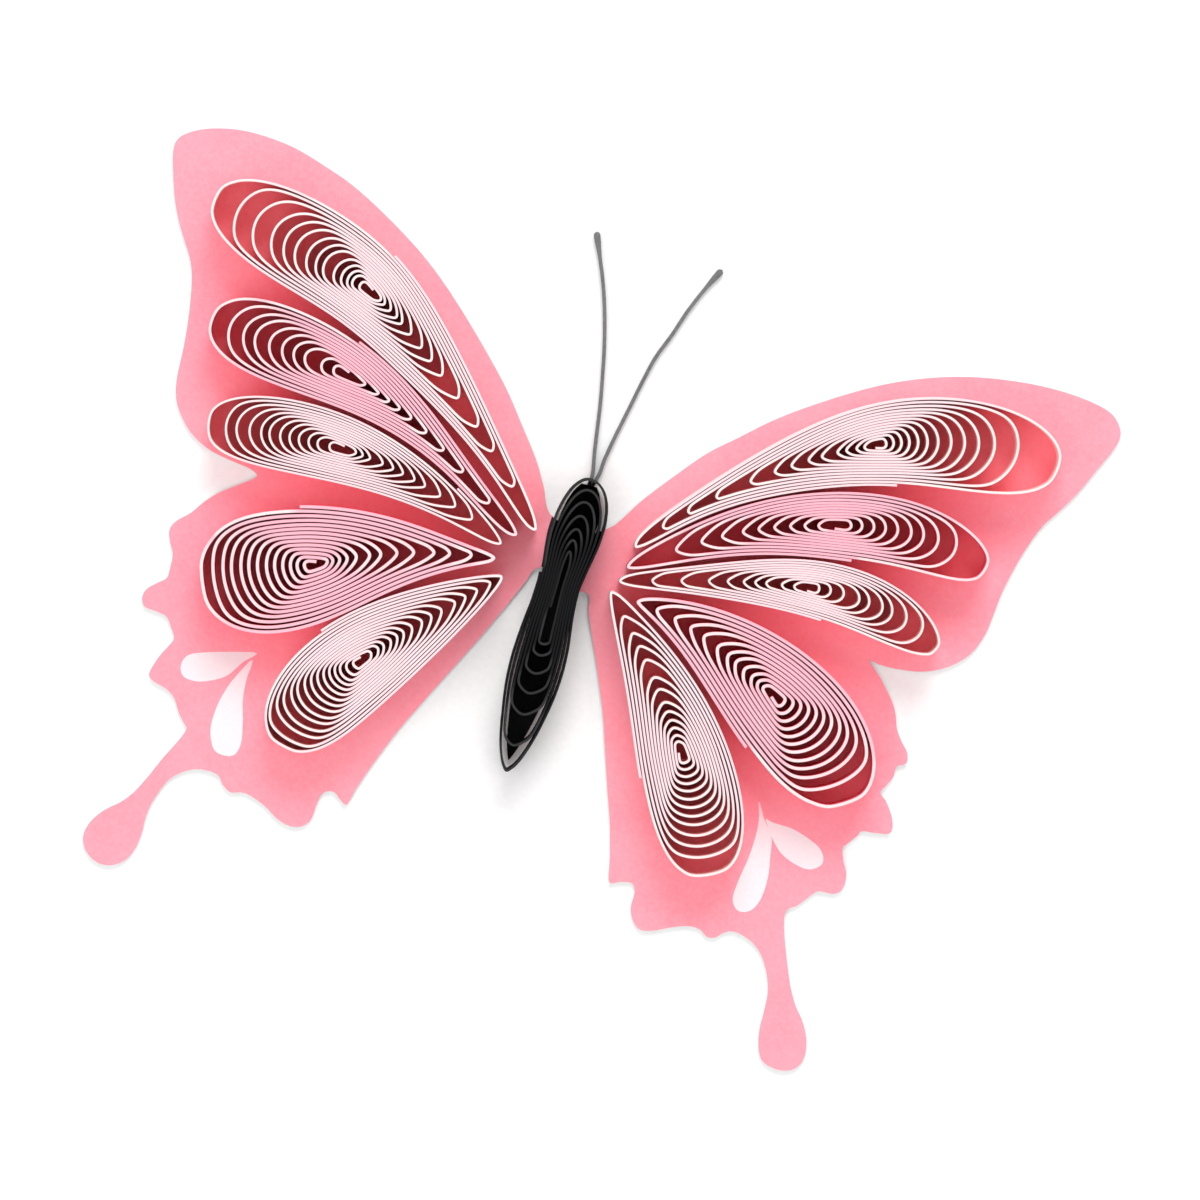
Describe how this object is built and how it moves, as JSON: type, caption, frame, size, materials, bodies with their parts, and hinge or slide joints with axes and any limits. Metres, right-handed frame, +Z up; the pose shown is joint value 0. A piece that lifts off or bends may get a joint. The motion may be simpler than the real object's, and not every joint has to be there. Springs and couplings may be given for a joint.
{
  "type": "quilled paper butterfly",
  "caption": "Flat butterfly of wound paper strips: pinched teardrop coils for the wings and a long dark coil for the body, glued on edge to a printed wing-shaped card.",
  "frame": {"origin": "on the back face of the card, under the waist of the body", "axes": "+Z up off the card through the coils, +Y from tail to head, +X to the viewer's right when seen from the front with the head up"},
  "size_m": [0.0523, 0.0399, 0.0033],
  "materials": {
    "pale_pink_paper": "matte",
    "rose_paper": "matte",
    "black_paper": "matte",
    "printed_card": "matte, pink print with white drops on the front and grey antennae, plain white back"
  },
  "bodies": {
    "root": {"left_forewing_coil_upper": "pale_pink_paper", "left_forewing_coil_middle": "rose_paper", "left_forewing_coil_lower": "pale_pink_paper", "left_hindwing_coil_upper": "rose_paper", "left_hindwing_coil_lower": "pale_pink_paper", "right_forewing_coil_upper": "pale_pink_paper", "right_forewing_coil_middle": "rose_paper", "right_forewing_coil_lower": "pale_pink_paper", "right_hindwing_coil_outer": "rose_paper", "right_hindwing_coil_inner": "pale_pink_paper", "body_coil": "black_paper", "wing_card": "printed_card"}
  },
  "joints": []
}
